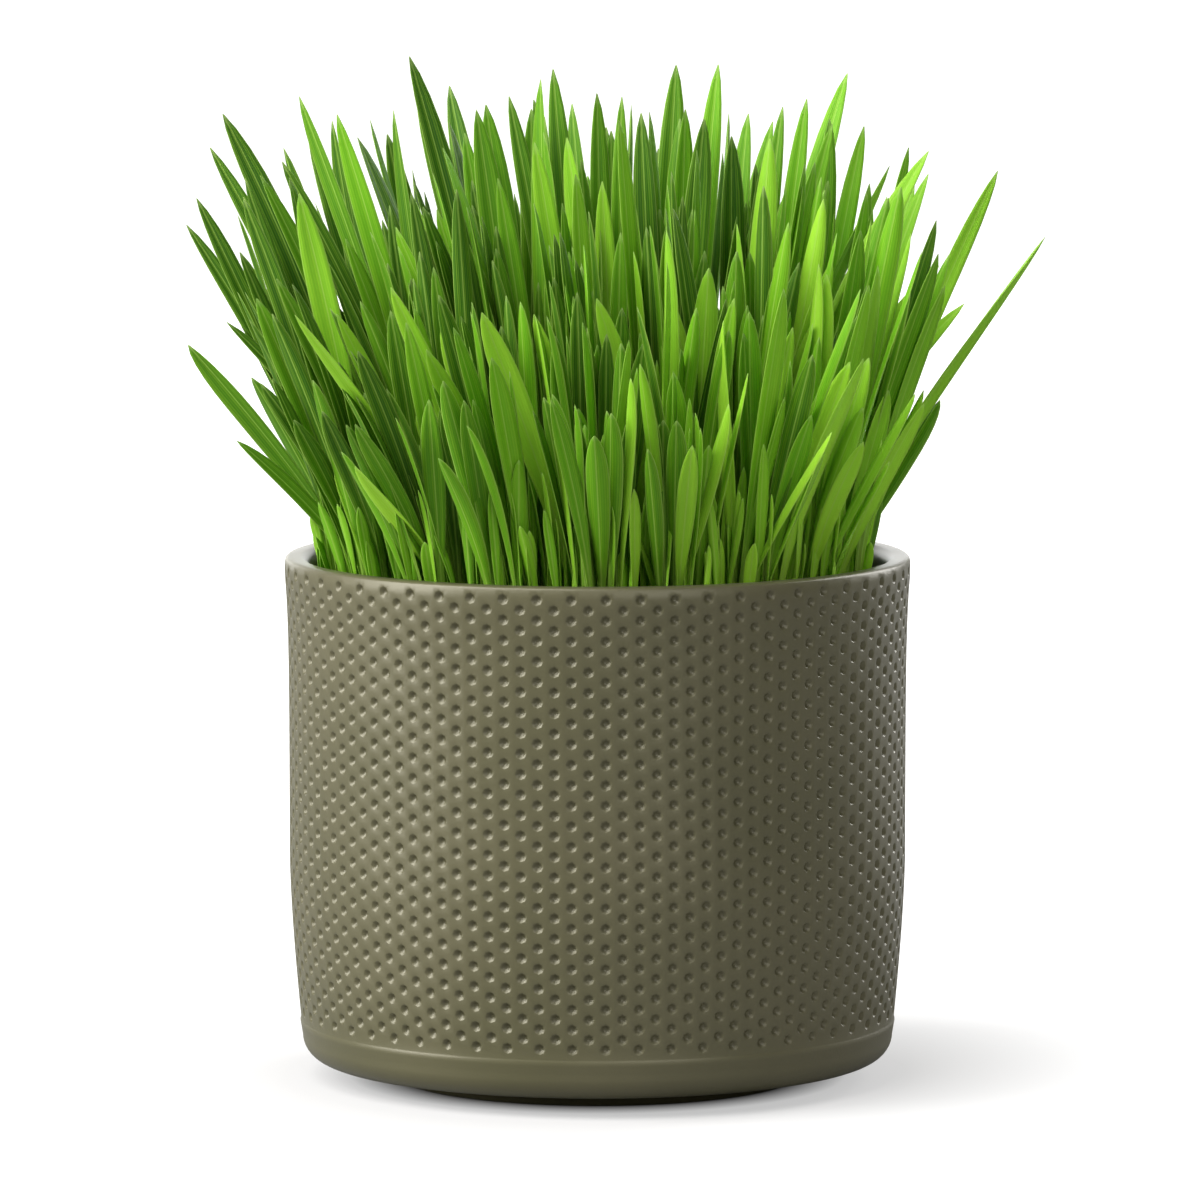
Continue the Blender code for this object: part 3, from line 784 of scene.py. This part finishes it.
def leaf_lines_group():
    """Group: a blade's ribs, midrib and a band along its edges for a painted highlight, from its own across
    and half-width (millimetres) values.
    """
    group = bpy.data.node_groups.new("leaf lines", "ShaderNodeTree")
    for name in ("Across", "Half Width"):
        group.interface.new_socket(name, in_out="INPUT", socket_type="NodeSocketFloat")
    for name in ("Ribs", "Midrib", "Painted Edge Highlight"):
        group.interface.new_socket(name, in_out="OUTPUT", socket_type="NodeSocketFloat")
    tree = Tree(group)
    given = tree.add("NodeGroupInput").outputs
    out = tree.add("NodeGroupOutput")
    fine = tree.math("COSINE", tree.math("MULTIPLY", given["Across"], 31.0))
    broad = tree.math("COSINE", tree.math("MULTIPLY_ADD", given["Across"], 9.5, 1.0))
    ribs = tree.ramp(tree.math("MULTIPLY_ADD", broad, 0.6, fine), -0.6, 1.5)
    beside = tree.math("MULTIPLY", tree.math("ABSOLUTE", given["Across"]), given["Half Width"])
    midrib = tree.ramp(beside, 0.26, 0.10)
    edge = tree.ramp(tree.math("ABSOLUTE", given["Across"]), 0.88, 0.96)
    group.links.new(ribs, out.inputs["Ribs"])
    group.links.new(midrib, out.inputs["Midrib"])
    group.links.new(edge, out.inputs["Painted Edge Highlight"])
    return group


def leaf_material():
    """Fresh grass: each blade has its own green, darkened or brightened by painted light and shade; paler at
    the foot, with a painted highlight at tip and edges, ribbed, and lets light through.
    """
    material, tree, shader = new_material("fresh grass")
    lines = tree.add("ShaderNodeGroup")
    lines.node_tree = leaf_lines_group()
    along = tree.attribute("along")
    tree.tree.links.new(tree.attribute("across"), lines.inputs["Across"])
    tree.tree.links.new(tree.attribute("half_width"), lines.inputs["Half Width"])
    # Each blade's own green together with its painted light and shade, and a faint random patchiness
    tone_and_painted_light = tree.math("ADD", tree.attribute("tone_and_painted_light"), tree.ramp(tree.noise(30), 0.3, 0.7, -0.08, 0.08))
    colour = tree.mix(tree.ramp(tone_and_painted_light, 0.0, 0.5), (0.034, 0.135, 0.005, 1), (0.155, 0.435, 0.011, 1))
    colour = tree.mix(tree.ramp(tone_and_painted_light, 0.5, 1.15), colour, (0.390, 0.740, 0.045, 1))
    foot = tree.ramp(along, 0.38, 0.04)
    colour = tree.mix(tree.math("MULTIPLY", foot, 0.7), colour, (0.40, 0.58, 0.10, 1))
    ribs = tree.math("MULTIPLY", lines.outputs["Ribs"], 0.3)
    colour = tree.mix(ribs, colour, (0.42, 0.68, 0.04, 1))
    # A paler midrib, and a painted highlight along both edges
    for name, share in (("Midrib", 0.42), ("Painted Edge Highlight", 0.55)):
        colour = tree.mix(tree.math("MULTIPLY", lines.outputs[name], share), colour, (0.46, 0.70, 0.12, 1))
    # Painted highlight at the very tip
    point = tree.math("MULTIPLY", tree.ramp(along, 0.97, 1.0), 0.22)
    colour = tree.mix(point, colour, (0.70, 0.80, 0.40, 1))
    height = lines.outputs["Ribs"]
    bump = tree.add("ShaderNodeBump", {"Strength": 0.5, "Distance": 0.1 * MM, "Height": height})
    join(tree, shader, Base_Color=colour, Normal=bump.outputs[0])
    shader.inputs["Roughness"].default_value = 0.48
    shader.inputs["Specular IOR Level"].default_value = 0.24
    through = tree.mix(0.35, colour, (0.50, 0.85, 0.04, 1))
    glow = tree.add("ShaderNodeBsdfTranslucent", {"Color": through})
    both = tree.add("ShaderNodeMixShader", {0: 0.28, 1: shader.outputs[0], 2: glow.outputs[0]})
    tree.tree.links.new(both.outputs[0], tree.tree.nodes["Material Output"].inputs["Surface"])
    return material


def floor_material():
    """White paper floor: it glows to the camera only, a painted light that grows away from the pot and leaves
    a painted shadow round the foot, so it shows brighter than the light it throws back.
    """
    material, tree, shader = new_material("white floor with painted glow")
    seen = tree.add("ShaderNodeLightPath").outputs["Is Camera Ray"]
    join(tree, shader, Base_Color=tree.mix(seen, (0.27, 0.27, 0.27, 1), (0.28, 0.275, 0.27, 1)))
    place = tree.add("ShaderNodeTexCoord").outputs["Object"]
    away = tree.add("ShaderNodeVectorMath", {0: place}, operation="LENGTH").outputs["Value"]
    # Painted light: no glow within 45 mm of the axis and more further out, which leaves a painted shadow
    # round the foot
    lift = tree.math("ADD", tree.ramp(away, 0.045, 0.056, 0.0, 0.5), tree.ramp(away, 0.07, 0.16, 0.0, 0.5))
    join(tree, shader, Emission_Strength=tree.math("MULTIPLY", seen, lift))
    shader.inputs["Emission Color"].default_value = (1, 1, 1, 1)
    shader.inputs["Roughness"].default_value = 0.95
    shader.inputs["Specular IOR Level"].default_value = 0.0
    return material


# Studio

def soft_light(name, place, target, size, power):
    light = bpy.data.lights.new(name, "AREA")
    light.shape = "RECTANGLE"
    light.size, light.size_y = size
    light.energy = power
    obj = bpy.data.objects.new(name, light)
    bpy.context.scene.collection.objects.link(obj)
    obj.location = place
    direction = np.subtract(target, place)
    flat = np.hypot(direction[0], direction[1])
    turn = np.arctan2(direction[1], direction[0]) - np.pi / 2
    obj.rotation_euler = (np.arctan2(flat, -direction[2]), 0, turn)


def build_studio():
    """A wide white floor, four soft lights round the pot, a soft overhead light and a pale surround."""
    corners = FLOOR_HALF * np.array([(-1, -1, 0), (1, -1, 0), (1, 1, 0), (-1, 1, 0)])
    floor = mesh_object("floor", corners, [np.array([[0, 1, 2, 3]])], smooth=False)
    floor.data.materials.append(floor_material())
    middle = (0.0, 0.0, 0.12)
    soft_light("key from the left", (-1.6, -0.4, 0.8), middle, (1.2, 1.4), 43)
    soft_light("fill from the front", (0.9, -2.2, 0.95), middle, (1.6, 1.2), 15)
    soft_light("edge from the right", (1.3, 1.15, 0.9), middle, (0.8, 1.2), 24)
    soft_light("card behind", (-0.5, 2.2, 0.5), middle, (2.4, 0.8), 20)
    overhead = bpy.data.lights.new("overhead", "SUN")
    overhead.energy = 3.2
    overhead.angle = np.radians(50)
    overhead_object = bpy.data.objects.new("overhead", overhead)
    bpy.context.scene.collection.objects.link(overhead_object)
    overhead_object.rotation_euler = (np.radians(22), np.radians(-28), 0)
    world = bpy.data.worlds.new("studio")
    world.use_nodes = True
    world.node_tree.nodes["Background"].inputs["Color"].default_value = (1, 1, 1, 1)
    world.node_tree.nodes["Background"].inputs["Strength"].default_value = 0.22
    bpy.context.scene.world = world
    bpy.context.scene.view_settings.view_transform = "Standard"


def build_camera():
    camera = bpy.data.cameras.new("camera")
    camera.lens = CAMERA_LENS
    camera.sensor_width = 36.0
    camera.clip_end = 60.0
    obj = bpy.data.objects.new("camera", camera)
    bpy.context.scene.collection.objects.link(obj)
    obj.location = (CAMERA_ASIDE, -CAMERA_DISTANCE, CAMERA_HEIGHT)
    obj.rotation_euler = (np.radians(90 - CAMERA_PITCH), 0, 0)
    bpy.context.scene.camera = obj


def main():
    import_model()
    build_camera()
    build_studio()
    build_pot(ceramic_material())
    soil = soil_material()
    build_soil(soil)
    build_crumbs(soil)
    build_grass(leaf_material(), clump_places())


main()
